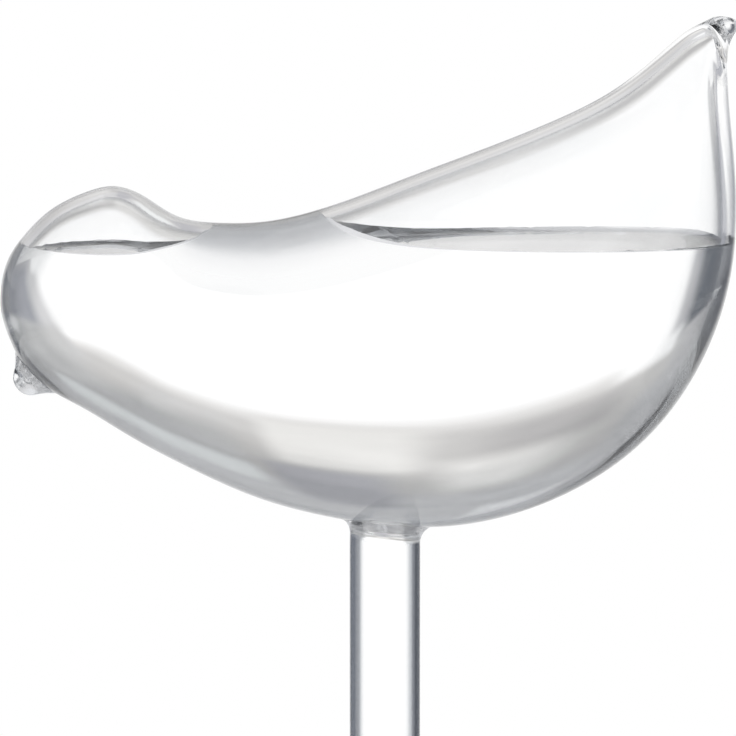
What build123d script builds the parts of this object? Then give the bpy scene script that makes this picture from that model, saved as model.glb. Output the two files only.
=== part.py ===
"""Glass watering globe in the shape of a bird, on a hollow stem that is pushed into the soil of a pot.

The bird is blown hollow from clear glass. Its tail is drawn out and sealed with a solid bead, its beak
is a drop of glass laid on the face, and the stem is a length of tube welded under the belly with a
flared collar. Water fills the bird almost to the back and runs down the bore of the stem.

Frame, in millimetres: origin on the stem's axis at its open lower end, +Z up the stem, -X towards the
beak, +X towards the tail. The bird is symmetric about the XZ plane.
"""

import math
import os

from build123d import *

# Stem: standard 8 mm glass tube with a wall of 1 mm
STEM_DIAMETER = 8.0
STEM_BORE = 6.0
STEM_LENGTH = 100.0  # from the open end to the lowest point of the belly
RIM_ROUND = 0.5  # fire-polished edges of the open end
RIM_SHARE = 0.4  # each of those rounds takes at most this share of the tube's wall
BORE_OVERRUN = 2.8  # the bore is cut this far past the bird's wall, into the cavity

# Bird, measured over the glass
BIRD_LENGTH = 82.8  # face to tail, along X
BIRD_HEIGHT = 57.75  # belly to tail tip, along Z
BIRD_WIDTH = 36.0  # across the body, along Y
GLASS_WALL = 1.2
STEM_FROM_FACE = 43.3  # how far behind the face the stem is welded on
TAIL_PLUG = 1.4  # solid glass between the cavity and the tail bead

# Weld collar between stem and belly: flares outwards, and leans with the belly
COLLAR_HEIGHT = 1.7  # from the end of the tube to the belly, on the stem's axis
FLARE_WIDTH = 1.5  # the flare as drawn, before the belly cuts it off
FLARE_HEIGHT = 2.2
FLARE_LIP = 2.0  # upright edge above the flare, drawn well into the belly

# Beak: a drop of glass, given by its profile about its own axis
BEAK_RADIUS = 2.05  # of its round end
BEAK_HEIGHT = 2.6  # how far it stands out of the face
BEAK_SHOULDER = 30.0  # degrees up the round end from its widest place, where the flare begins
BEAK_FOOT = 3.75  # radius of the flare as drawn, before the face cuts it off
BEAK_FLARE_DEPTH = 0.75  # how far below the root of the beak the flare is drawn
BEAK_SINK = 1.4  # the foot is drawn this much deeper than the flare
BEAK_TURN = 46.0  # degrees below the horizontal at which it lies, seen from the middle of the head
HEAD_MIDDLE = (14.8, 44.6)  # percent of the bird's length and height

# Water
WATER_DEPTH = 33.5  # above the lowest point of the belly
MOUTH_GAP = 0.8  # the column ends this far above the open end of the stem

# The outline of the bird, in percent of its length from the face and of its height from the belly.
# Each section runs from the back to the belly, and its width is in percent of the bird's width.
FACE_POINT = (0, 44.4)
SECTIONS = [
    # face and head
    ((0.34, 49.1), (0.34, 40.9), 13),
    ((1.16, 52.7), (1.16, 37.4), 25),
    ((3.2, 57.1), (3.2, 31.7), 41),
    ((6.5, 61.8), (6.5, 27.2), 55),
    ((11.4, 65.5), (11.4, 23.3), 67),
    ((15.4, 66.8), (15.4, 19.8), 72),
    # nape and the hollow of the back
    ((19.5, 64.9), (19.5, 16.3), 75),
    ((23.6, 61.2), (23.6, 13.2), 78),
    ((29.3, 59.6), (29.3, 9.2), 83.5),
    ((35.8, 59.8), (35.8, 5.4), 90.5),
    # body, with sections that begin to lean
    ((42.4, 61.8), (43.2, 2.5), 95.5),
    ((53.0, 67.2), (58.4, 0), 100),
    ((64.4, 73.4), (74.2, 4.8), 96.5),
    ((75.0, 79.5), (87.6, 17.1), 84.5),
    # tail
    ((82.9, 85.3), (95.4, 32.7), 68),
    ((88.4, 91.4), (99.3, 49.9), 50),
    ((92.7, 96.7), (99.7, 70.7), 31),
    ((96.0, 99.3), (98.6, 90.2), 14.5),
    ((97.3, 99.9), (98.8, 94.1), 9),
]
TIP_SECTION = ((99.0, 99.6), (99.45, 96.3), 5.8)
TIP_POINT = (100, 98.5)

STEM_RADIUS = STEM_DIAMETER / 2
BORE_RADIUS = STEM_BORE / 2


def place(point):
    """A point of the outline as a position in the XZ plane."""
    along, up = point
    return Vector(along / 100 * BIRD_LENGTH - STEM_FROM_FACE, 0, STEM_LENGTH + up / 100 * BIRD_HEIGHT)


def section_sketch(top, bottom, half_width):
    """An ellipse across the bird whose long axis runs from bottom to top."""
    up = (top - bottom).normalized()
    plane = Plane((top + bottom) / 2, x_dir=up, z_dir=(up.Z, 0, -up.X))
    with BuildSketch(plane, mode=Mode.PRIVATE) as outline:
        Ellipse((top - bottom).length / 2, half_width)
    return outline.sketch


def half_width_of(percent):
    """Half of a section's width, in millimetres."""
    return percent / 100 * BIRD_WIDTH / 2


def inner_line(points, side):
    """The points of one outline, each moved by the wall's thickness square to the line.

    side is 1 for the back, whose inside is below it, and -1 for the belly.
    """
    moved = []
    for i in range(1, len(points)):
        after = points[min(i + 1, len(points) - 1)]
        along = (after - points[i - 1]).normalized()
        moved.append(points[i] + Vector(along.Z, 0, -along.X) * side * GLASS_WALL)
    return moved


face = place(FACE_POINT)
back_line = [place(back) for back, _, _ in SECTIONS]
belly_line = [place(belly) for _, belly, _ in SECTIONS]
half_widths = [half_width_of(width) for _, _, width in SECTIONS]

# Outer form of the bird, as one solid
with BuildPart() as bird_form:
    loft(
        [
            Vertex(*face),
            *[section_sketch(*ends) for ends in zip(back_line, belly_line, half_widths)],
        ]
    )

# Where the stem's axis meets the belly, and the levels that follow from it
belly_point, belly_normal = bird_form.part.solid().find_intersection_points(Axis.Z)[0]
tube_top = belly_point.Z - COLLAR_HEIGHT
bore_top = belly_point.Z + GLASS_WALL + BORE_OVERRUN

# Cavity of the bird: the same sections, taken in by the wall, and closed short of the tail bead
inner_back = inner_line([face, *back_line], 1)
inner_belly = inner_line([face, *belly_line], -1)
inner_sketches = []
for i in range(len(SECTIONS) - 1):
    taken_in = ((back_line[i] - belly_line[i]).length - (inner_back[i] - inner_belly[i]).length) / 2
    inner_sketches.append(section_sketch(inner_back[i], inner_belly[i], half_widths[i] - taken_in))
tail_middle = (back_line[-1] + belly_line[-1]) / 2
before_tail = (inner_back[-2] + inner_belly[-2]) / 2
cavity_end = tail_middle + (before_tail - tail_middle).normalized() * TAIL_PLUG
with BuildPart() as cavity:
    loft([Vertex(*(face + Vector(GLASS_WALL, 0, 0))), *inner_sketches, Vertex(*cavity_end)])

# Blown glass bird, with the hole that opens into the stem
with BuildPart() as bulb:
    add(bird_form.part)
    add(cavity.part, mode=Mode.SUBTRACT)
    with BuildSketch(Plane.XY.offset(tube_top)):
        Circle(BORE_RADIUS)
    extrude(amount=bore_top - tube_top, mode=Mode.SUBTRACT)
bulb.part.label = "bird_bulb"

# Solid bead that seals the tail
with BuildPart() as tail:
    tip_back, tip_belly, tip_width = TIP_SECTION
    loft(
        [
            section_sketch(back_line[-1], belly_line[-1], half_widths[-1]),
            section_sketch(place(tip_back), place(tip_belly), half_width_of(tip_width)),
            Vertex(*place(TIP_POINT)),
        ]
    )
tail.part.label = "tail_bead"

# Beak: a drop turned about its own axis, standing square on the face
beak_sight = Vector(-math.cos(math.radians(BEAK_TURN)), 0, -math.sin(math.radians(BEAK_TURN)))
beak_hits = bird_form.part.solid().find_intersection_points(Axis(place(HEAD_MIDDLE), beak_sight))
beak_root, beak_out = beak_hits[-1]
beak_plane = Plane((beak_root.X, 0, beak_root.Z), x_dir=(-beak_out.Z, 0, beak_out.X), z_dir=(0, 1, 0))
with BuildPart() as beak:
    with BuildSketch(beak_plane):
        with BuildLine():
            drop_middle = (0, BEAK_HEIGHT - BEAK_RADIUS)
            drop = CenterArc(drop_middle, BEAK_RADIUS, BEAK_SHOULDER, 90 - BEAK_SHOULDER)
            flare = TangentArc(drop @ 0, (BEAK_FOOT, -BEAK_FLARE_DEPTH), tangent=-(drop % 0))
            side = Line(flare @ 1, flare @ 1 + Vector(0, -BEAK_SINK))
            foot = Line(side @ 1, (0, (side @ 1).Y))
            Line(foot @ 1, drop @ 1)
        make_face()
    revolve(axis=Axis(beak_plane.origin, beak_plane.y_dir))
    add(bird_form.part, mode=Mode.SUBTRACT)
beak.part.label = "beak_drop"

# Weld collar: flares from the end of the tube to the belly
seam_up = -belly_normal
seam_along = Vector(seam_up.Z, 0, -seam_up.X)
seam_plane = Plane((0, 0, tube_top), x_dir=seam_along, z_dir=seam_up)
with BuildPart() as collar:
    with BuildSketch(Plane(seam_plane.origin, x_dir=seam_along, z_dir=(0, -1, 0))):
        with BuildLine():
            base = Line((0, 0), (STEM_RADIUS, 0))
            flank = TangentArc(base @ 1, (STEM_RADIUS + FLARE_WIDTH, FLARE_HEIGHT), tangent=(0, 1))
            lip = Line(flank @ 1, flank @ 1 + Vector(0, FLARE_LIP))
            top = Line(lip @ 1, (0, FLARE_HEIGHT + FLARE_LIP))
            Line(top @ 1, base @ 0)
        make_face()
    revolve(axis=Axis(seam_plane.origin, seam_up))
    add(bird_form.part, mode=Mode.SUBTRACT)
    with BuildSketch(Plane.XY.offset(tube_top - STEM_RADIUS)):
        Circle(BORE_RADIUS)
    extrude(amount=bore_top - tube_top + STEM_RADIUS, mode=Mode.SUBTRACT)
collar.part.label = "weld_collar"

# Stem tube, open at its lower end and cut to the lean of the collar at its upper end
with BuildPart() as stem:
    with BuildSketch():
        Circle(STEM_RADIUS)
        Circle(BORE_RADIUS, mode=Mode.SUBTRACT)
    extrude(amount=belly_point.Z)
    split(bisect_by=seam_plane, keep=Keep.BOTTOM)
    rim_round = min(RIM_ROUND, RIM_SHARE * (STEM_RADIUS - BORE_RADIUS))
    fillet(stem.faces().sort_by(Axis.Z)[0].edges(), rim_round)
stem.part.label = "stem_tube"

# Water: the cavity up to the water line, and the column in the bore
with BuildPart() as water:
    add(cavity.part)
    split(bisect_by=Plane.XY.offset(STEM_LENGTH + WATER_DEPTH), keep=Keep.BOTTOM)
    with BuildSketch(Plane.XY.offset(MOUTH_GAP)):
        Circle(BORE_RADIUS)
    extrude(amount=bore_top - MOUTH_GAP)
water.part.label = "water_charge"

os.makedirs("parts", exist_ok=True)
for piece in (bulb, tail, beak, collar, stem, water):
    export_step(piece.part, f"parts/{piece.part.label}.step")
    print(piece.part.label, "solids", len(piece.part.solids()), "volume mm3", round(piece.part.volume))
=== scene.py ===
# %% [markdown]
# # A glass bird that waters a pot plant
#
# The real object is lamp-worked clear glass. A tube is blown out into a hollow bird, the tail is drawn
# out and sealed with a bead, a drop of glass is laid on for the beak, and 8 mm tube is welded under the
# belly as a stem. Filled with water and pushed into soil, it lets the water out as the soil dries.
#
# Clear things have no colour of their own. What shows is how they bend the light round them, so this
# lesson takes care over three things: smooth surfaces, walls with a real thickness, and what happens
# where glass, water and air meet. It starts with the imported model, which sets the frame and the size.

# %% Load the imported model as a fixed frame
import math

import bpy
import numpy as np
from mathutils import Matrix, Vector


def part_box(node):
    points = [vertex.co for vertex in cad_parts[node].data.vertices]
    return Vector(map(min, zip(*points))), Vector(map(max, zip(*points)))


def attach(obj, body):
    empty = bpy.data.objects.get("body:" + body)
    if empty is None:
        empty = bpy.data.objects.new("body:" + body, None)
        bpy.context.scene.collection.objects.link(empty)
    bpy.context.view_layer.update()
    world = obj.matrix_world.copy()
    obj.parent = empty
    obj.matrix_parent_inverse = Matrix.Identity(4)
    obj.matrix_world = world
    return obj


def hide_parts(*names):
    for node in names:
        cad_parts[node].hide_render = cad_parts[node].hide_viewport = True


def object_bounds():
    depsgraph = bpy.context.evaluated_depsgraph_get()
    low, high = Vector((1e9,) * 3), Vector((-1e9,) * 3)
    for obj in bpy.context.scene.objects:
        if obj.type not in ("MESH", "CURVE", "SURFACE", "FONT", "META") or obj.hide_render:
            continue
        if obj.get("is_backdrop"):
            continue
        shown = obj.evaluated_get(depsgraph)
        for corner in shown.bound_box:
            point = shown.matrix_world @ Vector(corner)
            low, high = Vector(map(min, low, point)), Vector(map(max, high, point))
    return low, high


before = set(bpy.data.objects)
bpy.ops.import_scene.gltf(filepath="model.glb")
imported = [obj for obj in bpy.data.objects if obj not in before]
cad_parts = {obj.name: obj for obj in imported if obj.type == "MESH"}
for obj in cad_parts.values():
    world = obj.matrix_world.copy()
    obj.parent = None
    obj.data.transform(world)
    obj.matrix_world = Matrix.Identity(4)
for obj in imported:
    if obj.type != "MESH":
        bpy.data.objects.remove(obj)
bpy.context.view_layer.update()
bird_low, bird_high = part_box("bird_bulb")
tip_low, tip_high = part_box("tail_bead")
_, stem_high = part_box("stem_tube")
water_low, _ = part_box("water_charge")
MM = 0.001
print("CAD nodes:", ", ".join(sorted(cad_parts)))

# %% [markdown]
# ## Finishes
#
# A shader knows one index of refraction, its surface against air. That is right for the outside of the
# glass and for the top of the water. Where glass lies against water the light meets a much smaller step,
# the ratio of the two, and where two pieces of glass are fused it meets none at all. So each piece has
# one finish for its free faces and others for the faces that touch something. Where the view grazes along
# a wall, the finishes grow darker. This is painted shade that draws the dark edges of the glass, with a
# little of the light that real glass takes along such a long path. Where that begins, and how dark it gets,
# was set by comparing renders with the photograph.
#
# The maths of a finish is written as Python sums. A small class wraps a socket, and a sum of two sockets
# adds the Math node that a hand would have placed.

# %% A class for shader sums
class Wire:
    """An output socket in a node tree. Sums and products of wires add Math nodes."""

    def __init__(self, tree, socket=None):
        self.tree = tree
        self.socket = socket

    def node(self, kind, settings, inputs, output=0):
        """Any node: its settings are set first, then the values or wires of its sockets."""
        made = self.tree.nodes.new(kind)
        for name, value in settings.items():
            setattr(made, name, value)
        for name, value in inputs.items():
            if isinstance(value, Wire):
                self.tree.links.new(value.socket, made.inputs[name])
            else:
                made.inputs[name].default_value = value
        return Wire(self.tree, made.outputs[output] if made.outputs else None)

    def maths(self, operation, first, second):
        return self.node("ShaderNodeMath", {"operation": operation}, {0: first, 1: second})

    def __add__(self, other):
        return self.maths("ADD", self, other)

    def __radd__(self, other):
        return self.maths("ADD", other, self)

    def __sub__(self, other):
        return self.maths("SUBTRACT", self, other)

    def __rsub__(self, other):
        return self.maths("SUBTRACT", other, self)

    def __mul__(self, other):
        return self.maths("MULTIPLY", self, other)

    def __rmul__(self, other):
        return self.maths("MULTIPLY", other, self)

    def step(self, start, end):
        """A smooth rise from 0 at start to 1 at end."""
        return self.node(
            "ShaderNodeMapRange",
            {"interpolation_type": "SMOOTHSTEP"},
            {"Value": self, "From Min": start, "From Max": end},
        )

    def mixed(self, low, high):
        """A colour that goes from low to high as this wire goes from 0 to 1."""
        return self.node(
            "ShaderNodeMix",
            {"data_type": "RGBA"},
            {"Factor": self, 6: low, 7: high},
            output=2,
        )


def empty_tree(owner):
    """The node tree of a material or a world, with nothing in it."""
    owner.use_nodes = True
    owner.node_tree.nodes.clear()
    return Wire(owner.node_tree)


# %% Glass and water
GLASS = 1.47  # index of refraction
WATER = 1.333
NO_STEP = 1.0  # of a face that bends no light
CLEAR = (1, 1, 1, 1)
OUTSIDE = (0.6, 0.9)  # the painted edge shade comes in between these shares of turning away from the view
INSIDE = (0.125, 0.2)  # the glass has bent the light by then, so it never grazes as much
IN_BORE = (0.17, 0.31)  # the same for the bore of the stem
SHADE_SOONER_ALONG = (16 * MM, 31 * MM)  # towards the tail the painted edge shade comes in sooner
SHADE_SOONER_UP = (138 * MM, 150 * MM)  # and less so again towards the top
TAIL_TIP = (149 * MM, 153 * MM, 0.3)  # two heights, and how much later the painted edge shade comes in above
SIDES = (114 * MM, 121 * MM, 0.055)  # the same for the sides of the bird, above its belly
EVEN_GRAIN = (60, 60, 60)  # streaks per metre along, across and up
BLOWN_GRAIN = (30, 180, 180)
DRAWN_GRAIN = (400, 400, 12)
STREAK_EDGE = (0.35, 0.7)  # between these values of the noise, one tint gives way to the other


def clear_finish(
    name,
    index,
    tints_and_shade,
    grazing=OUTSIDE,
    grain=EVEN_GRAIN,
    ripple=0.0,
    rough=0.0,
    shade_sooner=0.0,
    eased=TAIL_TIP,
):
    """A clear surface: two tints in streaks, painted shade where it is seen at a grazing angle, and
    ripples.

    The painted shade draws the dark edges of the glass, with a little of the light that real glass takes
    along a grazing path. The wall made below is even, as a blown wall never quite is. To stand partly for
    the difference, the painted shade comes in sooner towards the tail, by the share that the caller gives,
    and later above the two heights in eased, by the share that follows them. ripple is the height of the
    ripples, and rough blurs what shows through.
    """
    pale, tinted, edge_shade = tints_and_shade
    finish = bpy.data.materials.new(name)
    tree = empty_tree(finish)
    where = tree.node("ShaderNodeTexCoord", {}, {}, output=3)
    drawn = tree.node("ShaderNodeMapping", {}, {"Vector": where, "Scale": grain})
    streak = tree.node("ShaderNodeTexNoise", {}, {"Vector": drawn, "Scale": 1, "Detail": 1})
    bump = tree.node("ShaderNodeBump", {}, {"Strength": 1, "Distance": ripple, "Height": streak})
    along, _, up = (tree.node("ShaderNodeSeparateXYZ", {}, {"Vector": where}, output=i) for i in range(3))
    facing = tree.node("ShaderNodeLayerWeight", {}, {"Blend": 0.5}, output=1)
    # the painted edge shade comes in sooner towards the tail, less so towards the top, and later at the tip
    shade_sooner_share = along.step(*SHADE_SOONER_ALONG) * (1 - up.step(*SHADE_SOONER_UP))
    low, high, later = eased
    facing = facing + shade_sooner_share * shade_sooner - up.step(low, high) * later
    # painted shade: at grazing angles the streaked tints give way to a dark tone
    surface = tree.node(
        "ShaderNodeBsdfPrincipled",
        {},
        {
            "Base Color": facing.step(*grazing).mixed(streak.step(*STREAK_EDGE).mixed(pale, tinted), edge_shade),
            "Roughness": rough,
            "IOR": index,
            "Transmission Weight": 1,
            "Normal": bump,
        },
    )
    tree.node("ShaderNodeOutputMaterial", {}, {"Surface": surface})
    return finish


def plain_finish(name, index):
    """A clear surface that is the same all over, with no tint and no ripples."""
    finish = bpy.data.materials.new(name)
    tree = empty_tree(finish)
    values = {"Base Color": CLEAR, "Roughness": 0, "IOR": index, "Transmission Weight": 1}
    surface = tree.node("ShaderNodeBsdfPrincipled", {}, values)
    tree.node("ShaderNodeOutputMaterial", {}, {"Surface": surface})
    return finish


# each: a pale tint and a streaked tint of the glass, then the painted shade for grazing angles
GLASS_TINTS_AND_SHADE = (CLEAR, (0.985, 0.99, 0.992, 1), (0.15, 0.16, 0.18, 1))
DROP_TINTS_AND_SHADE = (CLEAR, (0.97, 0.98, 0.992, 1), (0.58, 0.62, 0.68, 1))
WALL_TINTS_AND_SHADE = (CLEAR, CLEAR, (0.62, 0.63, 0.64, 1))
BORE_TINTS_AND_SHADE = (CLEAR, CLEAR, (0.42, 0.44, 0.47, 1))
blown = clear_finish("blown_clear", GLASS, GLASS_TINTS_AND_SHADE, grain=BLOWN_GRAIN, ripple=0.015 * MM, shade_sooner=0.12)
blown_wet = clear_finish("blown_wet", GLASS / WATER, WALL_TINTS_AND_SHADE, INSIDE, eased=SIDES)
solid = clear_finish("solid_clear", GLASS, DROP_TINTS_AND_SHADE, grain=BLOWN_GRAIN, ripple=0.003 * MM, rough=0.09)
drawn_tube = clear_finish("drawn_clear", GLASS, GLASS_TINTS_AND_SHADE, grain=DRAWN_GRAIN, ripple=0.004 * MM)
drawn_wet = clear_finish("drawn_wet", GLASS / WATER, BORE_TINTS_AND_SHADE, IN_BORE)
fused = plain_finish("fused_seam", NO_STEP)
water_skin = plain_finish("water_skin", WATER)
water_side = plain_finish("water_side", NO_STEP)
FINISHES = [blown, blown_wet, solid, drawn_tube, drawn_wet, fused, water_skin, water_side]
print("finishes:", ", ".join(finish.name for finish in FINISHES))

# %% [markdown]
# ## The outline of the bird
#
# Glass shows every kink, because a kink bends the light another way. The bird's outline is therefore one
# closed smooth curve: from the face along the back to the tip of the tail, and home along the belly. It
# runs through the same sections as the CAD model, as a periodic cubic spline, which has no jump in its
# bend anywhere. The widths of the sections go through a spline of the same kind.

# %% The sections, in percent of the bird's length and height: back, belly and width
FACE = (0, 44.4)
TIP = (100, 98.5)
SECTIONS = [
    # face and head
    ((0.34, 49.1), (0.34, 40.9), 13),
    ((1.16, 52.7), (1.16, 37.4), 25),
    ((3.2, 57.1), (3.2, 31.7), 41),
    ((6.5, 61.8), (6.5, 27.2), 55),
    ((11.4, 65.5), (11.4, 23.3), 67),
    ((15.4, 66.8), (15.4, 19.8), 72),
    # nape and the hollow of the back
    ((19.5, 64.9), (19.5, 16.3), 75),
    ((23.6, 61.2), (23.6, 13.2), 78),
    ((29.3, 59.6), (29.3, 9.2), 83.5),
    ((35.8, 59.8), (35.8, 5.4), 90.5),
    # body, with sections that begin to lean
    ((42.4, 61.8), (43.2, 2.5), 95.5),
    ((53.0, 67.2), (58.4, 0), 100),
    ((64.4, 73.4), (74.2, 4.8), 96.5),
    ((75.0, 79.5), (87.6, 17.1), 84.5),
    # tail
    ((82.9, 85.3), (95.4, 32.7), 68),
    ((88.4, 91.4), (99.3, 49.9), 50),
    ((92.7, 96.7), (99.7, 70.7), 31),
    ((96.0, 99.3), (98.6, 90.2), 14.5),
    ((97.3, 99.9), (98.8, 94.1), 9),
    ((99.0, 99.6), (99.45, 96.3), 5.8),
]
BEAD_SECTION = len(SECTIONS) - 2  # the bead is fused on at this section
bird_length = tip_high.x - bird_low.x
bird_height = bird_high.z - bird_low.z
bird_width = bird_high.y - bird_low.y


def place(point):
    """A point of the outline, as x and z in metres."""
    along, up = point
    return np.array([bird_low.x + along / 100 * bird_length, bird_low.z + up / 100 * bird_height])


def closed_curve(knots, period, values):
    """A function that follows a periodic cubic spline through the values."""
    steps = np.diff(np.append(knots, knots[0] + period))
    slopes = (np.roll(values, -1, axis=0) - values) / steps[:, None]
    count = len(knots)
    system = np.zeros((count, count))
    for i in range(count):
        system[i, i - 1] += steps[i - 1]
        system[i, i] += 2 * (steps[i - 1] + steps[i])
        system[i, (i + 1) % count] += steps[i]
    bends = np.linalg.solve(system, 6 * (slopes - np.roll(slopes, 1, axis=0)))

    def follow(knot):
        knot = (knot - knots[0]) % period + knots[0]
        i = np.searchsorted(knots, knot, side="right") - 1
        j = (i + 1) % count
        right = (knot - knots[i]) / steps[i]
        left = 1 - right
        bow = (left**3 - left) * bends[i] + (right**3 - right) * bends[j]
        return left * values[i] + right * values[j] + steps[i] ** 2 / 6 * bow

    return follow


back = np.array([place(FACE), *[place(s[0]) for s in SECTIONS], place(TIP)])
belly = np.array([place(FACE), *[place(s[1]) for s in SECTIONS], place(TIP)])
half_widths = np.array([0, *[s[2] / 100 * bird_width / 2 for s in SECTIONS], 0])
chords = [np.hypot(*np.diff(side, axis=0).T) for side in (back, belly)]
stations = np.append(0, np.cumsum(np.mean(chords, axis=0)))
period = 2 * stations[-1]
knots = np.append(stations, period - stations[-2:0:-1])
outline = closed_curve(knots, period, np.vstack([back, belly[-2:0:-1]]))
widths = closed_curve(knots, period, np.append(half_widths, -half_widths[-2:0:-1])[:, None])


def section(station, inset=0.0):
    """The back point, the belly point and the half width there, moved in by inset square to the outline."""
    ends = []
    for knot in (station, period - station):
        ahead = outline(knot + MM / 10) - outline(knot - MM / 10)
        inward = np.array([ahead[1], -ahead[0]]) / np.hypot(*ahead)
        ends.append(outline(knot) + inset * inward)
    outer = np.hypot(*(outline(station) - outline(period - station)))
    taken_in = (outer - np.hypot(*(ends[0] - ends[1]))) / 2
    return ends[0], ends[1], widths(station)[0] - taken_in


print("outline runs", round(period / MM, 1), "mm in knots, bird", round(bird_length / MM, 2), "mm long")

# %% [markdown]
# ## Rings
#
# Every piece here is symmetric from left to right, and nearly all are rows of round or oval sections. So
# one function makes them as a hand would: a circle is added, then extruded again and again, and each new
# ring is stood upright, resized, leaned and moved to its own section. Closed ends are merged to a pole.

# %% Helpers for edit mode
RIMS = {"use_multi_face": False, "use_non_contiguous": False, "use_verts": False}


def start_edit(obj, kind="VERT"):
    """Edit mode on this object alone."""
    bpy.ops.object.select_all(action="DESELECT")
    obj.select_set(True)
    bpy.context.view_layer.objects.active = obj
    bpy.ops.object.mode_set(mode="EDIT")
    bpy.ops.mesh.select_mode(type=kind)


def end_edit():
    bpy.ops.object.mode_set(mode="OBJECT")


def select_rims():
    """Selects the open edges of the mesh, loose circles among them."""
    bpy.ops.mesh.select_all(action="DESELECT")
    bpy.ops.mesh.select_non_manifold(extend=False, use_wire=True, use_boundary=True, **RIMS)


# %% Rings and tubes
def measure(ring):
    """The middle of a ring, its half height, half width, and its lean from +Z towards +X."""
    top, bottom, half_width = ring
    up = top - bottom
    return (top + bottom) / 2, np.hypot(*up) / 2, half_width, math.atan2(*up)


def spot(point):
    """A point of the XZ plane as three numbers."""
    return (point[0], 0, point[1])


def lean_by(angle, middle):
    """Turns the selection from +Z towards +X. With no window, rotate turns the other way."""
    bpy.ops.transform.rotate(value=-angle, orient_axis="Y", center_override=spot(middle))


def move_ring(old, new):
    """Brings the selected ring from one section to another."""
    middle, height, width, lean = old
    lean_by(-lean, middle)
    bpy.ops.transform.resize(value=(1, new[2] / width, new[1] / height), center_override=spot(middle))
    lean_by(new[3], middle)
    bpy.ops.transform.translate(value=spot(new[0] - middle))


def close_ring(middle, pole):
    """Closes the selected ring with a fan of faces that meet at the pole."""
    bpy.ops.mesh.extrude_region_move()
    bpy.ops.mesh.merge(type="CENTER")
    bpy.ops.transform.translate(value=spot(pole - middle))


def ring_tube(name, rings, segments, first_pole=None, last_pole=None):
    """A tube through the rings, open or closed with a pole at each end."""
    bpy.ops.object.select_all(action="DESELECT")
    bpy.ops.mesh.primitive_circle_add(vertices=segments, radius=MM)
    tube = bpy.context.object
    tube.name = name
    tube.data.name = name
    start_edit(tube)
    bpy.ops.mesh.select_all(action="SELECT")
    here = (np.zeros(2), MM, MM, math.pi / 2)
    for number, ring in enumerate(rings):
        if number:
            bpy.ops.mesh.extrude_region_move()
        there = measure(ring)
        move_ring(here, there)
        here = there
        if number == 0 and first_pole is not None:
            close_ring(here[0], first_pole)
            select_rims()
    if last_pole is not None:
        close_ring(here[0], last_pole)
    bpy.ops.mesh.select_all(action="SELECT")
    bpy.ops.mesh.normals_make_consistent(inside=False)
    end_edit()
    return tube


# %% Read, paint and select a mesh
def points_of(obj):
    places = np.empty(len(obj.data.vertices) * 3)
    obj.data.vertices.foreach_get("co", places)
    return places.reshape(-1, 3)


def set_points(obj, places):
    obj.data.vertices.foreach_set("co", places.ravel())
    obj.data.update()


def centres_of(obj):
    """The middle of each face."""
    centres = np.empty(len(obj.data.polygons) * 3)
    obj.data.polygons.foreach_get("center", centres)
    return centres.reshape(-1, 3)


def paint(obj, finish, chosen=slice(None)):
    """Gives a finish to all faces, or to the chosen ones."""
    if finish.name not in obj.data.materials:
        obj.data.materials.append(finish)
    numbers = np.empty(len(obj.data.polygons), dtype=np.int32)
    obj.data.polygons.foreach_get("material_index", numbers)
    numbers[chosen] = obj.data.materials.find(finish.name)
    obj.data.polygons.foreach_set("material_index", numbers)


def corners_of(mesh, what):
    found = np.empty(len(mesh.loops), dtype=np.int32)
    mesh.loops.foreach_get(what, found)
    return found


def edge_ends(obj):
    """The numbers of the two points of each edge."""
    ends = np.empty(len(obj.data.edges) * 2, dtype=np.int32)
    obj.data.edges.foreach_get("vertices", ends)
    return ends.reshape(-1, 2)


def pick(obj, faces=None, edges=None):
    """Selects just these faces, or just these edges, with the points on them."""
    mesh = obj.data
    if edges is None:
        sizes = np.empty(len(mesh.polygons), dtype=np.int32)
        mesh.polygons.foreach_get("loop_total", sizes)
        edges = np.zeros(len(mesh.edges), dtype=bool)
        edges[corners_of(mesh, "edge_index")[np.repeat(faces, sizes)]] = True
    else:
        faces = np.zeros(len(mesh.polygons), dtype=bool)
    points = np.zeros(len(mesh.vertices), dtype=bool)
    points[edge_ends(obj)[edges].ravel()] = True
    mesh.vertices.foreach_set("select", points)
    mesh.edges.foreach_set("select", edges)
    mesh.polygons.foreach_set("select", faces)


def rim_edges(obj):
    """True for each edge with a face on one side only."""
    uses = np.bincount(corners_of(obj.data, "edge_index"), minlength=len(obj.data.edges))
    return uses == 1


def edge_middles(obj):
    return points_of(obj)[edge_ends(obj)].mean(axis=1)


# %% Copy, join and finish pieces
def copy_of(obj, name):
    """A second object with its own copy of the mesh."""
    copy = bpy.data.objects.new(name, obj.data.copy())
    bpy.context.scene.collection.objects.link(copy)
    return copy


def copy_faces(obj, chosen, name):
    """A new object made from a copy of the chosen faces."""
    pick(obj, faces=chosen)
    start_edit(obj, "FACE")
    bpy.ops.mesh.duplicate()
    bpy.ops.mesh.separate(type="SELECTED")
    end_edit()
    part = next(o for o in bpy.context.selected_objects if o is not obj)
    part.name = name
    part.data.name = name
    return part


def join(*objs):
    """Joins the objects into the first one."""
    bpy.ops.object.select_all(action="DESELECT")
    for obj in objs:
        obj.select_set(True)
    bpy.context.view_layer.objects.active = objs[0]
    bpy.ops.object.join()
    return objs[0]


def bridge(obj, chosen):
    """Joins two open edge loops with a band of faces."""
    pick(obj, edges=chosen)
    start_edit(obj, "EDGE")
    bpy.ops.mesh.bridge_edge_loops()
    end_edit()


SMOOTH = math.radians(40)  # edges that turn further than this stay sharp


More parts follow.
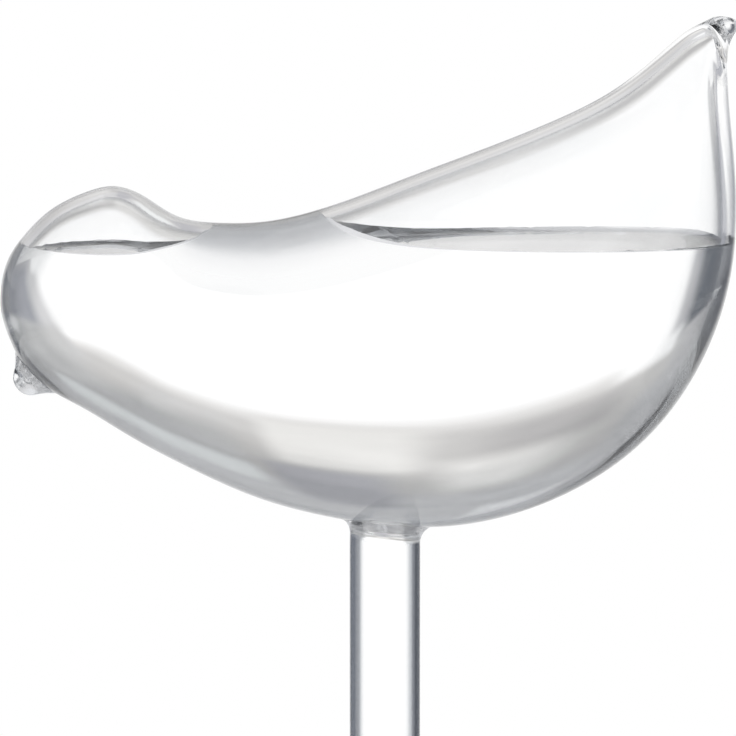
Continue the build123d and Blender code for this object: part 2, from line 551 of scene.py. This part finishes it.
def finish_piece(obj):
    """Faces outwards, and shading that is smooth but for real corners."""
    start_edit(obj)
    bpy.ops.mesh.select_all(action="SELECT")
    bpy.ops.mesh.normals_make_consistent(inside=False)
    end_edit()
    bpy.ops.object.shade_smooth_by_angle(angle=SMOOTH)
    print(obj.name, len(obj.data.vertices), "points, open edges:", int(rim_edges(obj).sum()))


# %% [markdown]
# ## Blown bird: the outside and the cavity
#
# The bird is blown in one go, and its wall is taken as even. The outside follows the outline,
# and the cavity follows it again, moved in by the wall. At the tail the two part: the glass was drawn
# out and sealed there, so the cavity ends in a narrow round tip, with solid glass beyond it.

# %% Outside, bead and cavity
ROUND = 96  # points in a ring of the bird
RING_STEP = 0.8 * MM
GLASS_WALL = 1.2 * MM
CAVITY_TIP = 2.4 * MM  # half width at which the cavity starts to close
CAVITY_CAP = 1.5 * MM  # length of its round end
CAP_TURNS = [25, 45, 62, 76]  # degrees round that end, each with a ring

bead_station = stations[BEAD_SECTION + 1]
bird_stations = np.linspace(0, bead_station, round(bead_station / RING_STEP))[1:]
bead_ring = section(bead_station)
bead_middle = (bead_ring[0] + bead_ring[1]) / 2
outside = ring_tube("blown_bird", [section(s) for s in bird_stations], ROUND, place(FACE), bead_middle)

cavity_rings = [section(s, GLASS_WALL) for s in bird_stations]
# all rings in front of the stem, and those behind it that are wide enough
cavity_rings = [ring for ring in cavity_rings if ring[2] > CAVITY_TIP or ring[0][0] < 0]
last_top, last_bottom, last_width = cavity_rings[-1]
cavity_end = (last_top + last_bottom) / 2
towards_tip = (bead_middle - cavity_end) / np.hypot(*(bead_middle - cavity_end))
for angle in np.radians(CAP_TURNS):
    shrink = math.cos(angle)
    shift = towards_tip * CAVITY_CAP * math.sin(angle)
    half = (last_top - last_bottom) / 2 * shrink
    cavity_rings.append((cavity_end + shift + half, cavity_end + shift - half, last_width * shrink))
inner_face = place(FACE) + np.array([GLASS_WALL, 0])
cavity = ring_tube("cavity", cavity_rings, ROUND, inner_face, cavity_end + towards_tip * CAVITY_CAP)
print("rings outside", len(bird_stations), "and in the cavity", len(cavity_rings))

# %% [markdown]
# ## Feet for the collar and the beak
#
# The collar and the beak are fused to the bird, and no light bends at a fused face. So the bird needs an
# edge just where each of them ends. A round patch of faces is taken out, a circle is set in its place and
# bridged to the hole, and the new points are pressed on to a copy of the smooth surface.

# %% Set a round foot into a surface
FOOT_ROUND = 64  # points in a foot, in the stem and in the beak
BORE = 3.0 * MM
COLLAR_FOOT = 5.25 * MM
BEAK_FOOT = 3.4 * MM
BEAK_RINGS = [BEAK_FOOT, 2.3 * MM, 1.1 * MM]
BEAK_PATCH = 5.2 * MM  # a patch of faces of about this radius is taken out for it
COLLAR_RINGS = [COLLAR_FOOT, 4.1 * MM, BORE]
COLLAR_PATCH = 7.5 * MM
BORE_PATCH = 5.0 * MM
PRESS_REACH = 1.1  # the points pressed on lie within this share of the patch's radius


def set_foot(form, middle, outward, reach, radii, filled):
    """Gives a surface a round of edges at the first radius, and rings inside it at the others."""
    guide = copy_of(form, "guide")
    apart = centres_of(form) - np.array(spot(middle))
    axis = np.array(spot(outward))
    along = apart @ axis
    across = np.linalg.norm(apart - np.outer(along, axis), axis=1)
    pick(form, faces=(across < reach) & (np.abs(along) < reach))
    start_edit(form, "FACE")
    bpy.ops.mesh.delete(type="FACE")
    bpy.ops.mesh.select_mode(type="EDGE")
    turn = math.atan2(outward[0], outward[1])
    bpy.ops.mesh.primitive_circle_add(
        vertices=FOOT_ROUND, radius=radii[0], location=spot(middle), rotation=(0, turn, 0)
    )
    select_rims()
    bpy.ops.mesh.bridge_edge_loops(number_cuts=2)
    for larger, smaller in zip(radii, radii[1:]):
        select_rims()
        bpy.ops.mesh.extrude_region_move()
        bpy.ops.transform.resize(value=(smaller / larger,) * 3, center_override=spot(middle))
    if filled:
        select_rims()
        bpy.ops.mesh.extrude_region_move()
        bpy.ops.mesh.merge(type="CENTER")
    end_edit()
    apart = points_of(form) - np.array(spot(middle))
    near = np.linalg.norm(apart, axis=1) < reach * PRESS_REACH
    pressed = form.vertex_groups.new(name="pressed")
    pressed.add(np.flatnonzero(near).tolist(), 1, "REPLACE")
    press = form.modifiers.new("press", "SHRINKWRAP")
    press.target = guide
    press.vertex_group = pressed.name
    bpy.ops.object.modifier_apply(modifier=press.name)
    form.vertex_groups.clear()
    bpy.data.objects.remove(guide)


def belly_spot(inset):
    """Where the stem's axis meets the belly, and the belly's slope there."""
    line = np.array([section(s, inset)[1] for s in bird_stations if outline(s)[0] < tip_low.x])
    line = line[np.argsort(line[:, 0])]
    height = np.interp(0, line[:, 0], line[:, 1])
    slope = np.interp(MM, line[:, 0], line[:, 1]) - np.interp(-MM, line[:, 0], line[:, 1])
    return np.array([0, height]), math.atan2(slope, 2 * MM)


DOWN = np.array([0, -1])
belly_foot, belly_slope = belly_spot(0)
inner_foot, _ = belly_spot(GLASS_WALL)
print("belly over the stem at", np.round(belly_foot / MM, 2), "slope", round(math.degrees(belly_slope), 1))

BEAK_TURN = math.radians(45)  # below the horizontal, seen from the middle of the head
HEAD_MIDDLE = place((14.8, 44.6))
CHEST = 14 * MM  # the beak's root is sought on this length of the outline
CHEST_POINTS = 400
chest = np.array([outline(period - s) for s in np.linspace(0, CHEST, CHEST_POINTS)])
sight = chest - HEAD_MIDDLE
turns = np.arctan2(-sight[:, 1], -sight[:, 0])
beak_knot = np.argmin(np.abs(turns - BEAK_TURN))
beak_root = chest[beak_knot]
beak_side = chest[beak_knot + 1] - chest[beak_knot - 1]
beak_side = beak_side / np.hypot(*beak_side)
beak_out = np.array([beak_side[1], -beak_side[0]])
print("beak stands at", np.round(beak_root / MM, 2), "along", np.round(beak_out, 2))

set_foot(outside, beak_root, beak_out, BEAK_PATCH, BEAK_RINGS, True)
set_foot(outside, belly_foot, DOWN, COLLAR_PATCH, COLLAR_RINGS, False)
set_foot(cavity, inner_foot, DOWN, BORE_PATCH, [BORE], False)

# %% [markdown]
# ## The water line
#
# Water wets glass, so its edge climbs a little up the wall. Under the hollow of the back, where the glass
# leans far over the water, it climbs much further and closes the gap. That is why the air is in two
# pockets, one in the head and one in the tail. To cut the cavity along such a line, it is first pushed
# down by the climb, so that the line is flat, then cut by a level plane, and let up again.

# %% Cut the cavity at the water line
WATER_LEVEL = bird_low.z + 32.1 * MM
HEAD_DROP = 0.9 * MM  # the water in the head stands this much lower than in the tail
EDGE_RISE = 0.5 * MM  # how far the edge climbs the wall
CLIMB = 2.7 * MM  # how much further it climbs under the hollow of the back
CLIMB_MIDDLE = -11.5 * MM
CLIMB_SPREAD = 7.0 * MM


def climb(along):
    """How much further the water climbs under the hollow of the back."""
    return CLIMB * np.exp(-(((along - CLIMB_MIDDLE) / CLIMB_SPREAD) ** 2) / 2)


def head_drop(along):
    """How much lower the level is than in the tail."""
    return HEAD_DROP / (1 + np.exp((along - CLIMB_MIDDLE) / MM))


def lift_by_line(obj, share, count=None):
    """Moves the first points of an object by that share of the water line's rise over its level."""
    places = points_of(obj)
    along = places[:count, 0]
    places[:count, 2] += share * (climb(along) - head_drop(along))
    set_points(obj, places)


lift_by_line(cavity, -1)
start_edit(cavity)
bpy.ops.mesh.select_all(action="SELECT")
bpy.ops.mesh.bisect(plane_co=(0, 0, WATER_LEVEL + EDGE_RISE), plane_no=(0, 0, 1))
end_edit()
wet = centres_of(cavity)[:, 2] < WATER_LEVEL + EDGE_RISE
paint(cavity, blown)
paint(cavity, blown_wet, wet)
print("wet faces", int(wet.sum()), "dry faces", int((~wet).sum()))

# %% [markdown]
# ## Water
#
# The water starts as a copy of the wet faces, drawn in by a hair so that the two never lie on each other.
# The column in the stem is extruded from the hole in the belly. The edge of each air pocket is extruded
# into ever smaller rings, and each ring sinks a little further with its distance from the wall, as a
# meniscus does.

# %% Fill of water
WATER_GAP = 0.02 * MM
MENISCUS = 0.9 * MM  # this far from the wall, about a third of the climb is left
SURFACE_RINGS = [0.99, 0.977, 0.96, 0.94, 0.91, 0.87, 0.82, 0.74, 0.6, 0.35]
MOUTH = water_low.z
MOUTH_BULGE = 0.25 * MM
BULGE_TURNS = [30, 55, 75]  # degrees round the bulge, each with a ring
COLUMN_STEPS = 12
SHORE_HEIGHT = 10 * MM  # the shores of the pockets lie further than this above the belly


def from_line(points, starts, ends):
    """How far each point lies from a line of short pieces."""
    pieces = ends - starts
    share = ((points[:, None] - starts) * pieces).sum(axis=2) / (pieces**2).sum(axis=1)
    nearest = starts + np.clip(share, 0, 1)[..., None] * pieces
    return np.linalg.norm(points[:, None] - nearest, axis=2).min(axis=1)


water = copy_faces(cavity, wet, "water_fill")
start_edit(water)
bpy.ops.mesh.select_all(action="SELECT")
bpy.ops.transform.shrink_fatten(value=-WATER_GAP)
end_edit()
water.data.materials.clear()
paint(water, water_side)
side_faces = len(water.data.polygons)
side_points = len(water.data.vertices)

# the pocket of air in the head, then the one in the tail
for pocket in (-1, 1):
    middles = edge_middles(water)
    high = middles[:, 2] > inner_foot[1] + SHORE_HEIGHT
    shore = rim_edges(water) & high & (pocket * (middles[:, 0] - CLIMB_MIDDLE) > 0)
    starts, ends = points_of(water)[edge_ends(water)[shore], :2].transpose(1, 0, 2)
    centre = ((middles[shore, 0].min() + middles[shore, 0].max()) / 2, 0, WATER_LEVEL)
    first = len(water.data.vertices)
    pick(water, edges=shore)
    start_edit(water, "EDGE")
    before = 1.0
    for size in SURFACE_RINGS:
        bpy.ops.mesh.extrude_region_move()
        bpy.ops.transform.resize(value=(size / before, size / before, 1), center_override=centre)
        before = size
    bpy.ops.mesh.extrude_region_move()
    bpy.ops.mesh.merge(type="CENTER")
    end_edit()
    places = points_of(water)
    sunk = np.exp(-from_line(places[first:, :2], starts, ends) / MENISCUS)
    along = places[first:, 0]
    places[first:, 2] = WATER_LEVEL - head_drop(along) + (EDGE_RISE + climb(along)) * sunk
    set_points(water, places)
paint(water, water_skin, np.arange(len(water.data.polygons)) >= side_faces)
lift_by_line(water, 1, side_points)
lift_by_line(cavity, 1)

pick(water, edges=rim_edges(water))
start_edit(water, "EDGE")
reached = inner_foot[1]
for height in np.linspace(inner_foot[1], MOUTH, COLUMN_STEPS + 1)[1:]:
    bpy.ops.mesh.extrude_region_move(TRANSFORM_OT_translate={"value": (0, 0, height - reached)})
    bpy.ops.transform.resize(value=(1, 1, 0), center_override=(0, 0, height))
    reached = height
previous = 0.0
for angle in np.radians(BULGE_TURNS):
    shrink = math.cos(angle) / math.cos(previous)
    drop = MOUTH_BULGE * (math.sin(angle) - math.sin(previous))
    bpy.ops.mesh.extrude_region_move(TRANSFORM_OT_translate={"value": (0, 0, -drop)})
    bpy.ops.transform.resize(value=(shrink, shrink, 1), center_override=(0, 0, MOUTH))
    previous = angle
bpy.ops.mesh.extrude_region_move()
bpy.ops.mesh.merge(type="CENTER")
end_edit()
paint(water, water_skin, centres_of(water)[:, 2] < MOUTH)
finish_piece(water)

# %% [markdown]
# ## Tail bead
#
# The tail ends in a small solid bead, where the drawn-out glass was pinched off in the flame. It goes on
# from the last ring of the bird, along the same outline, so that nothing shows at the seam. Here, and at
# the other seams, the two fused faces lie a hair apart: light that met two faces in one place would be
# caught between them.

# %% Sealed bead at the tip of the tail
BEAD_RINGS = 10
SEAM = 0.01 * MM


def in_seam(obj, middle, axis):
    """True for the faces of a seam, whose middles lie in its plane."""
    return np.abs((centres_of(obj) - np.array(spot(middle))) @ np.array(spot(axis))) < 2 * SEAM


bead_up = (bead_ring[0] - bead_ring[1]) / np.hypot(*(bead_ring[0] - bead_ring[1]))
bead_axis = np.array([bead_up[1], -bead_up[0]])
bead_stations = np.linspace(bead_station + SEAM, stations[-1], BEAD_RINGS + 1)[:-1]
bead_rings = [section(s) for s in bead_stations]
bead = ring_tube("sealed_tail_bead", bead_rings, ROUND, bead_middle + SEAM * bead_axis, place(TIP))
paint(bead, solid)
paint(bead, fused, in_seam(bead, bead_middle, bead_axis))
finish_piece(bead)

# %% [markdown]
# ## Weld collar
#
# The stem was melted on to the belly, and the soft glass drew out into a flared ring. Its foot is a copy
# of the patch on the belly. The flank starts as a ring at the end of the tube, and opens in a hollow
# curve until it meets the foot.

# %% Flared ring between belly and stem
STEM_RADIUS = stem_high.x
COLLAR_HEIGHT = 1.7 * MM
FLARE_WIDTH = 1.5 * MM
FLARE_HEIGHT = 2.2 * MM
FLANK_HEIGHT = 0.8 * FLARE_HEIGHT  # above it, one band of faces goes on to the foot
FLANK_RINGS = 7
FOOT_DEPTH = 3 * MM  # the faces of a foot lie within this depth of its root
JUST_INSIDE = 0.995  # and within this share of its radius
flare_radius = (FLARE_WIDTH**2 + FLARE_HEIGHT**2) / (2 * FLARE_WIDTH)
seam_middle = belly_foot - np.array([0, COLLAR_HEIGHT])
seam_lean = math.pi / 2 - belly_slope
seam_up = np.array([-math.sin(belly_slope), math.cos(belly_slope)])


def round_ring(middle, lean, radius):
    """A round section, whose up direction leans from +Z towards +X."""
    up = radius * np.array([math.sin(lean), math.cos(lean)])
    return middle + up, middle - up, radius


def from_axis(points):
    """How far points lie from the axis of the stem."""
    return np.hypot(points[:, 0], points[:, 1])


def new_faces(obj, count):
    """True for the faces that were made after the first ones."""
    return np.arange(len(obj.data.polygons)) >= count


low_faces = centres_of(outside)[:, 2] < belly_foot[1] + FOOT_DEPTH
collar_foot = low_faces & (from_axis(centres_of(outside)) < COLLAR_FOOT * JUST_INSIDE)
foot = copy_faces(outside, collar_foot, "collar_foot")
set_points(foot, points_of(foot) + SEAM * np.array(spot(DOWN)))
paint(foot, fused)
flank = [round_ring(seam_middle, seam_lean, BORE)]
for height in np.linspace(0, FLANK_HEIGHT, FLANK_RINGS):
    radius = STEM_RADIUS + flare_radius - math.sqrt(flare_radius**2 - height**2)
    flank.append(round_ring(seam_middle + seam_up * height, seam_lean, radius))
collar = ring_tube("collar_weld_ring", flank, FOOT_ROUND)
paint(collar, solid)
paint(collar, fused, in_seam(collar, seam_middle, seam_up))
join(collar, foot)
half_way = (BORE + STEM_RADIUS) / 2
made = len(collar.data.polygons)
bridge(collar, rim_edges(collar) & (from_axis(edge_middles(collar)) < half_way))
paint(collar, blown_wet, new_faces(collar, made))
made = len(collar.data.polygons)
bridge(collar, rim_edges(collar))
paint(collar, solid, new_faces(collar, made))
finish_piece(collar)

# %% [markdown]
# ## Stem tube
#
# The stem is a length of drawn tube with a fire-polished rim. One row of rings goes up the bore, across the
# seam, down the outside and round the rim, and a last band of faces closes it.

# %% Drawn glass tube
RIM = 0.5 * MM
STEM_STEPS = 24
LEVEL = math.pi / 2  # lean of a ring that lies level
JUST_OUTSIDE = 1.01  # the faces of the bore lie within this share of its radius
RIM_TURNS = np.radians([15, 30, 45, 60, 75, 90])


def stem_ring(radius, height):
    return round_ring(np.array([0, height]), LEVEL, radius)


def wall_heights(start, end):
    return np.linspace(start, end, STEM_STEPS)[:-1]


stem_top = seam_middle[1] - MM
stem_rings = [stem_ring(BORE, h) for h in (RIM, *wall_heights(MOUTH, stem_top))]
stem_rings += [round_ring(seam_middle - SEAM * seam_up, seam_lean, r) for r in (BORE, STEM_RADIUS)]
stem_rings += [stem_ring(STEM_RADIUS, h) for h in (*wall_heights(stem_top, RIM), RIM)]
for turn in RIM_TURNS:
    stem_rings.append(stem_ring(STEM_RADIUS - RIM * (1 - math.cos(turn)), RIM * (1 - math.sin(turn))))
for turn in RIM_TURNS[::-1][:-1]:
    stem_rings.append(stem_ring(BORE + RIM * (1 - math.cos(turn)), RIM * (1 - math.sin(turn))))
stem = ring_tube("stem_glass_tube", stem_rings, FOOT_ROUND)
bridge(stem, rim_edges(stem))
paint(stem, drawn_tube)
in_bore = (from_axis(centres_of(stem)) < BORE * JUST_OUTSIDE) & (centres_of(stem)[:, 2] > MOUTH)
paint(stem, drawn_wet, in_bore)
paint(stem, fused, in_seam(stem, seam_middle, seam_up))
finish_piece(stem)

# %% [markdown]
# ## Beak
#
# The beak is a drop of hot glass laid on the face. Its round end is part of a ball, and from its shoulder
# the glass flows out into the face in a wide hollow curve, an arc that leaves the ball without a kink.

# %% Glass drop on the face
DROP_RADIUS = 2.05 * MM
DROP_HEIGHT = 2.32 * MM
DROP_SHOULDER = 30  # degrees up the ball from its widest place, where the flare begins
DROP_FOOT = 3.75 * MM  # radius of the flare's end, a little below the face
DROP_DEPTH = 0.75 * MM  # how far below
FLARE_TURNS = (44, 41, 38, 35, 32)  # degrees along the flare and then up the ball, each with a ring
BALL_TURNS = (DROP_SHOULDER, 38, 46, 54, 62, 70, 77, 84)


def out_of_face(angle, size=1.0):
    """Across and along the beak's axis: the direction at an angle from the face, in degrees."""
    return size * np.array([math.cos(math.radians(angle)), math.sin(math.radians(angle))])


ball_middle = np.array([0, DROP_HEIGHT - DROP_RADIUS])
shoulder = ball_middle + out_of_face(DROP_SHOULDER, DROP_RADIUS)
to_foot = np.array([DROP_FOOT, -DROP_DEPTH]) - shoulder
flare_round = to_foot @ to_foot / 2 / (to_foot @ out_of_face(DROP_SHOULDER))
flare_middle = shoulder + out_of_face(DROP_SHOULDER, flare_round)
profile = [flare_middle - out_of_face(angle, flare_round) for angle in FLARE_TURNS]
profile += [ball_middle + out_of_face(angle, DROP_RADIUS) for angle in BALL_TURNS]
drop_lean = math.atan2(*beak_side)
drop_rings = [round_ring(beak_root + beak_out * height, drop_lean, radius) for radius, height in profile]
drop_tip = beak_root + beak_out * DROP_HEIGHT

apart = centres_of(outside) - np.array(spot(beak_root))
beak_axis = np.array(spot(beak_out))
from_beak = np.linalg.norm(apart - np.outer(apart @ beak_axis, beak_axis), axis=1)
beak_foot = (from_beak < BEAK_FOOT * JUST_INSIDE) & (apart @ beak_axis > -FOOT_DEPTH)
foot = copy_faces(outside, beak_foot, "beak_foot")
set_points(foot, points_of(foot) + SEAM * beak_axis)
paint(foot, fused)
beak = ring_tube("beak_glass_drop", drop_rings, FOOT_ROUND, last_pole=drop_tip)
paint(beak, solid)
join(beak, foot)
made = len(beak.data.polygons)
bridge(beak, rim_edges(beak))
paint(beak, solid, new_faces(beak, made))
finish_piece(beak)

# %% [markdown]
# ## Join the bird's two walls
#
# The outside gets its finishes, the fused feet among them. Then the outside and the cavity become one
# piece, and a band of faces between their two holes makes the wall of the bore.

# %% One shell of glass
paint(outside, blown)
paint(outside, fused, collar_foot | beak_foot | in_seam(outside, bead_middle, bead_axis))
bird = join(outside, cavity)
made = len(bird.data.polygons)
bridge(bird, rim_edges(bird))
paint(bird, blown_wet, new_faces(bird, made))
finish_piece(bird)

# %% [markdown]
# ## Light, floor and camera
#
# Glass on white is lit by a bright field: what lies straight behind it is white, and what lies to the
# sides and overhead is darker. The bent edges of the glass pick up that darker surround, and draw the
# outline. The world is such a studio: a white window behind the bird, dark flags beside it, grey walls on
# both sides, and a ceiling that soon darkens upwards and is lighter again overhead. Each is a card with
# soft edges, painted over the ones before it. Their places and tones were found by comparing renders with
# the photograph. Rays straight from the camera see white instead, like the photograph's background. The
# floor is a pale disc that takes the shadow and fades to the white that the camera sees beyond it.

# %% Cards of the studio
WHITE = (1, 1, 1, 1)
WINDOW = (1.08, 1.08, 1.08, 1)
ALL_ROUND = (-100, -95, 95, 100)
SKY = (100, 105)
CARDS = [  # tone, lean of its sides, four sideways limits and four upward ones, all in degrees
    # the ceiling, which soon darkens upwards and is lighter again overhead
    ((0.86, 0.85, 0.84, 1), 0, ALL_ROUND, (2, 4.5, *SKY)),
    ((0.64, 0.63, 0.62, 1), 0, ALL_ROUND, (3.5, 6.5, *SKY)),
    ((0.6, 0.59, 0.58, 1), 0, ALL_ROUND, (7, 11, *SKY)),
    ((0.69, 0.69, 0.7, 1), 0, ALL_ROUND, (19, 27, *SKY)),
    ((0.8, 0.81, 0.83, 1), 0, ALL_ROUND, (42, 54, *SKY)),
    # pale and dark patches of the ceiling over the window
    (WINDOW, 0, (-30, -27, -18, -14), (-10, 0, 4, 6.5)),
    ((0.84, 0.83, 0.81, 1), 0, (-3, 1.5, 7, 10.5), (3.5, 5.5, 14, 17)),
    ((0.48, 0.47, 0.47, 1), 0, (-22, -15, -9, -2), (5, 7.5, 10, 14)),
    ((0.9, 0.89, 0.87, 1), 0, (-18, -9, -6, 0), (10, 15, 20, 26)),
    ((0.5, 0.5, 0.53, 1), 0, (0, 4, 9, 12.5), (15, 18, 30, 36)),
    # right of the window: a half tone, a grey step below it, the flag, and the wall with two pale patches
    ((0.72, 0.72, 0.73, 1), 0.6, (14.5, 19, 66, 74), (-17, -13, 6, 10)),
    ((0.66, 0.66, 0.67, 1), 0.6, (18.5, 21.5, 60, 68), (-30, -25, -15, -12)),
    ((0.43, 0.44, 0.48, 1), 0.6, (20, 26, 66, 74), (-22, -15, 0, 4)),
    ((0.62, 0.62, 0.62, 1), 0.6, (15, 19, 95, 100), (-1, 3.5, 19, 25)),
    (WHITE, 0, (36, 42, 58, 66), (1, 3.5, 6.5, 9)),
    ((0.9, 0.92, 0.92, 1), 0, (11, 15, 23, 28), (18, 21, 25, 29)),
    # left of the window: a half tone, the flag, and two parts of the wall with a pale patch above
    ((0.6, 0.6, 0.62, 1), 0, (-74, -66, -27, -23.5), (-30, -25, 1, 3)),
    ((0.13, 0.145, 0.17, 1), 0, (-74, -66, -33, -26.5), (-30, -25, 3, 5)),
    ((0.58, 0.58, 0.59, 1), 0, (-100, -95, -32, -26.5), (1.9, 3.5, 10, 14)),
    ((0.6, 0.6, 0.61, 1), 0, (-100, -95, -27, -20), (8, 12, 26, 32)),
    ((1.05, 1.05, 1.06, 1), 0, (-32, -25, -13, -9), (33, 39, 56, 64)),
    # grey screens square to the sides
    ((0.54, 0.55, 0.58, 1), 0, (60, 70, 95, 100), (-11, -8, 1, 5)),
    ((0.54, 0.55, 0.57, 1), 0, (-100, -95, -70, -60), (-34, -30, 1, 5)),
]
LEAN_END = 6  # degrees up, above which sides no longer lean
CEILING = (5, 12)  # degrees up, between which its streaks come in
STREAKS = (0.07, 0.14, 1)  # of the ceiling, per degree sideways and upwards
CEILING_EDGE = (0.3, 0.7)  # between these values of the noise, dark streaks give way to light ones
DARKER = (0.93, 0.93, 0.93, 1)
LIGHTER = (1.07, 1.07, 1.07, 1)
print("studio of", len(CARDS), "cards")

# %% World
world = bpy.data.worlds.new("studio")
bpy.context.scene.world = world
tree = empty_tree(world)
direction = tree.node("ShaderNodeTexCoord", {}, {})
x, y, z = (tree.node("ShaderNodeSeparateXYZ", {}, {"Vector": direction}, output=i) for i in range(3))
# the half of the studio in front of the bird is a mirror of the half behind it
sideways = tree.maths("DEGREES", tree.maths("ARCTAN2", x, tree.maths("ABSOLUTE", y, 0)), 0)
upwards = tree.maths("DEGREES", tree.maths("ARCSINE", z, 0), 0)


def between(wire, limits):
    """1 between the two inner limits, falling smoothly to 0 at the two outer ones."""
    return wire.step(*limits[:2]) * (1 - wire.step(*limits[2:]))


light = WINDOW
for tone, lean, sides, heights in CARDS:
    leaning = sideways + tree.maths("MINIMUM", upwards, LEAN_END) * lean
    light = (between(leaning, sides) * between(upwards, heights)).mixed(light, tone)
spread = tree.node("ShaderNodeCombineXYZ", {}, {"X": sideways, "Y": upwards})
spread = tree.node("ShaderNodeMapping", {}, {"Vector": spread, "Scale": STREAKS})
streak = tree.node("ShaderNodeTexNoise", {}, {"Vector": spread, "Scale": 1, "Detail": 3})
light = tree.node(
    "ShaderNodeMix",
    {"data_type": "RGBA", "blend_type": "MULTIPLY"},
    {"Factor": upwards.step(*CEILING), 6: light, 7: streak.step(*CEILING_EDGE).mixed(DARKER, LIGHTER)},
    output=2,
)
by_camera = tree.node("ShaderNodeLightPath", {}, {})
light = by_camera.mixed(light, WHITE)
glow = tree.node("ShaderNodeBackground", {}, {"Color": light, "Strength": 1})
tree.node("ShaderNodeOutputWorld", {}, {"Surface": glow})
print("world of", len(world.node_tree.nodes), "nodes")

# %% Floor
FLOOR_RADIUS = 0.33
FLOOR_POINTS = 128
FLOOR_TONE = (0.78, 0.78, 0.79, 1)
FLOOR_LIFT = 0.2  # its own faint light, as from a lit table
FLOOR_FADE = (0.12, 0.27)  # it turns white between these distances

bpy.ops.object.select_all(action="DESELECT")
bpy.ops.mesh.primitive_circle_add(vertices=FLOOR_POINTS, radius=FLOOR_RADIUS, fill_type="NGON")
floor = bpy.context.object
floor.name = "floor"
pale = bpy.data.materials.new("pale_floor")
tree = empty_tree(pale)
spread = tree.node("ShaderNodeTexCoord", {}, {}, output=3)
distance = tree.node("ShaderNodeVectorMath", {"operation": "LENGTH"}, {0: spread}, output=1)
matt = tree.node("ShaderNodeBsdfDiffuse", {}, {"Color": FLOOR_TONE})
lift = tree.node("ShaderNodeEmission", {}, {"Color": WHITE, "Strength": FLOOR_LIFT})
near = tree.node("ShaderNodeAddShader", {}, {0: matt, 1: lift})
far = tree.node("ShaderNodeEmission", {}, {"Color": WHITE, "Strength": 1})
blend = tree.node("ShaderNodeMixShader", {}, {0: distance.step(*FLOOR_FADE), 1: near, 2: far})
tree.node("ShaderNodeOutputMaterial", {}, {"Surface": blend})
floor.data.materials.append(pale)
floor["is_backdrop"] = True
print("floor", FLOOR_RADIUS, "m in radius")

# %% Camera
LENS = 300
SENSOR = 36
FRAME_WIDTH = 82.93 * MM  # width of the picture, at the bird
LIFT = math.radians(7.3)  # how steeply the camera looks down
TARGET = np.array([-1.916, 0, 117.97]) * MM
BOUNCES = 300  # light runs far inside the walls
away = FRAME_WIDTH / SENSOR * LENS * np.array([0, -math.cos(LIFT), math.sin(LIFT)])
bpy.ops.object.camera_add(location=TARGET + away, rotation=(math.pi / 2 - LIFT, 0, 0))
camera = bpy.context.object
camera.data.lens = LENS
camera.data.sensor_width = SENSOR
camera.data.clip_end = 20
scene = bpy.context.scene
scene.camera = camera
scene.view_settings.view_transform = "Standard"
scene.cycles.max_bounces = BOUNCES
scene.cycles.transmission_bounces = BOUNCES
scene.cycles.glossy_bounces = BOUNCES
print("camera at", np.round(TARGET + away, 3), "looking at", np.round(TARGET, 3))

# %% [markdown]
# ## Hand the pieces over
#
# Each piece takes the place of one node of the imported model, which is hidden. Nothing moves on this
# object, so all of them ride with the root. The box round the pieces is printed, to set beside the model's
# own.

# %% Replace the nodes and measure the box
PIECES = [
    (bird, "bird_bulb", "blown_glass"),
    (bead, "tail_bead", "solid_glass"),
    (beak, "beak_drop", "solid_glass"),
    (collar, "weld_collar", "solid_glass"),
    (stem, "stem_tube", "tube_glass"),
    (water, "water_charge", "water"),
]
for piece, node, slot in PIECES:
    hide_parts(node)
    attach(piece, "root")
low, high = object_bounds()
print("visual box in mm", [round(c / MM, 2) for c in (*low, *high)])
